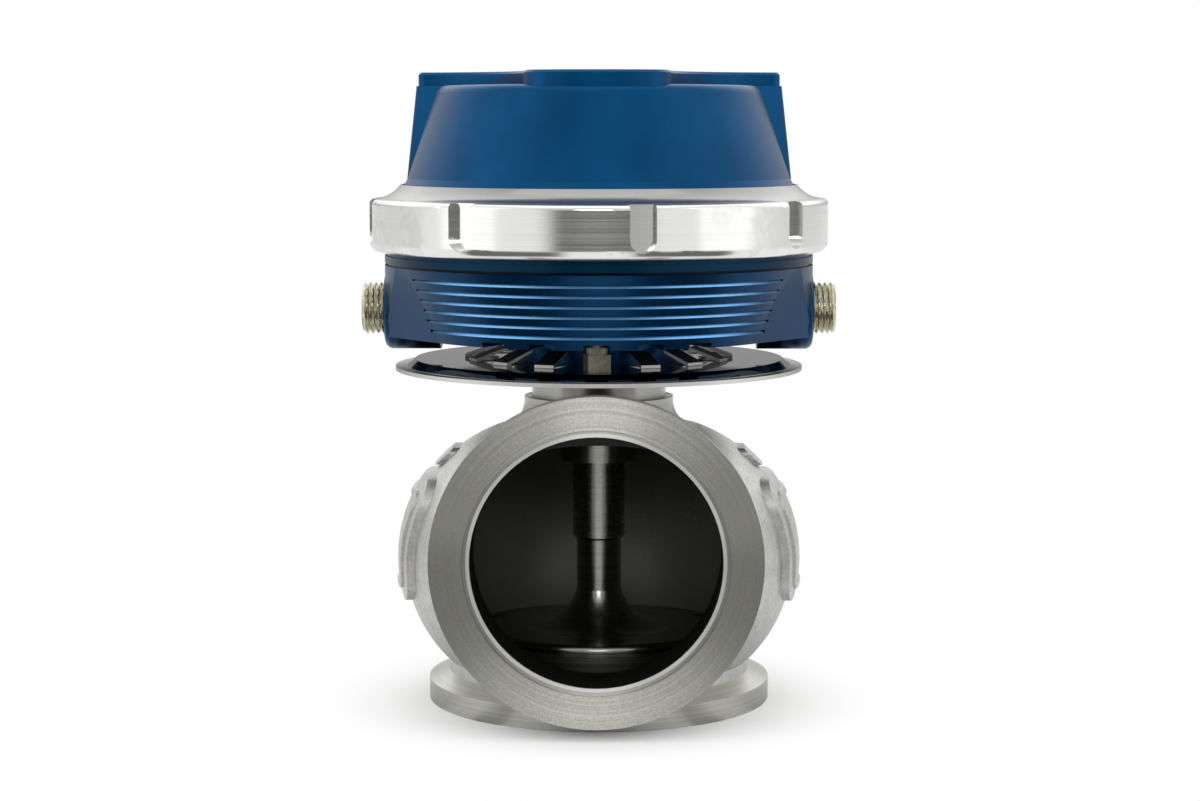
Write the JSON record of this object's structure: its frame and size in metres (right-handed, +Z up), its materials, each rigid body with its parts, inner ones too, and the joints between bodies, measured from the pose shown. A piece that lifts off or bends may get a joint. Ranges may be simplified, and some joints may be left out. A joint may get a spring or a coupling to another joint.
{
  "type": "turbo wastegate",
  "caption": "External exhaust wastegate: V-band valve body with side outlet, finned heat shield, and a spring and diaphragm actuator under a screwed collar and clockable cap.",
  "frame": {"origin": "centre of the inlet flange's face, on the stem's axis", "axes": "+Z up along the valve stem from the inlet to the cap, outlet facing -Y, side ports on +X and -X"},
  "size_m": [0.1224, 0.1184, 0.1628],
  "materials": {
    "cast_stainless": "bead blasted casting, machined flanges",
    "seat_steel": "fine turned",
    "valve_steel": "turned, heat tinted",
    "guide_bronze": "satin",
    "mirror_steel": "mirror polished sheet",
    "nickel_steel": "satin nickel plate",
    "blue_anodised": "satin blue anodised",
    "black_rubber": "matte, fabric reinforced",
    "spring_steel": "shot peened",
    "gasket_fibre": "compressed fibre",
    "zinc_steel": "zinc plated",
    "nickel_brass": "nickel plated",
    "plain_aluminium": "satin machined"
  },
  "bodies": {
    "casing": {"body_casting": "cast_stainless", "valve_seat": "seat_steel", "guide_bush": "guide_bronze", "neck_gasket": "gasket_fibre", "heat_shield": "mirror_steel", "shield_posts": "nickel_steel", "shield_screws": "nickel_steel", "lower_housing": "blue_anodised", "body_bolts": "zinc_steel", "stem_seal": "black_rubber", "seal_clip": "spring_steel", "pipe_plug_left": "nickel_brass", "pipe_plug_right": "nickel_brass", "diaphragm": "black_rubber", "outer_spring": "spring_steel", "middle_spring": "spring_steel", "inner_spring": "spring_steel"},
    "valve": {"valve": "valve_steel", "lower_plate": "plain_aluminium", "piston_cup": "plain_aluminium", "stem_washer": "zinc_steel", "stem_nut": "zinc_steel"},
    "cap": {"cap": "blue_anodised"},
    "collar": {"collar": "plain_aluminium", "slip_ring": "plain_aluminium"}
  },
  "joints": [
    {"name": "valve_lift", "type": "slide", "parent": "casing", "child": "valve", "axis": [0, 0, 1], "range_m": [0, 0.013], "stiffness_N_per_m": 12500, "springref_m": -0.039, "deforming": ["diaphragm", "outer_spring", "middle_spring", "inner_spring"]},
    {"name": "collar_turn", "type": "hinge", "parent": "casing", "child": "collar", "pos_m": [0, 0, 0.125], "axis": [0, 0, 1], "range_deg": [0, 90]},
    {"name": "cap_swivel", "type": "hinge", "parent": "casing", "child": "cap", "pos_m": [0, 0, 0.126], "axis": [0, 0, 1], "continuous": true}
  ]
}
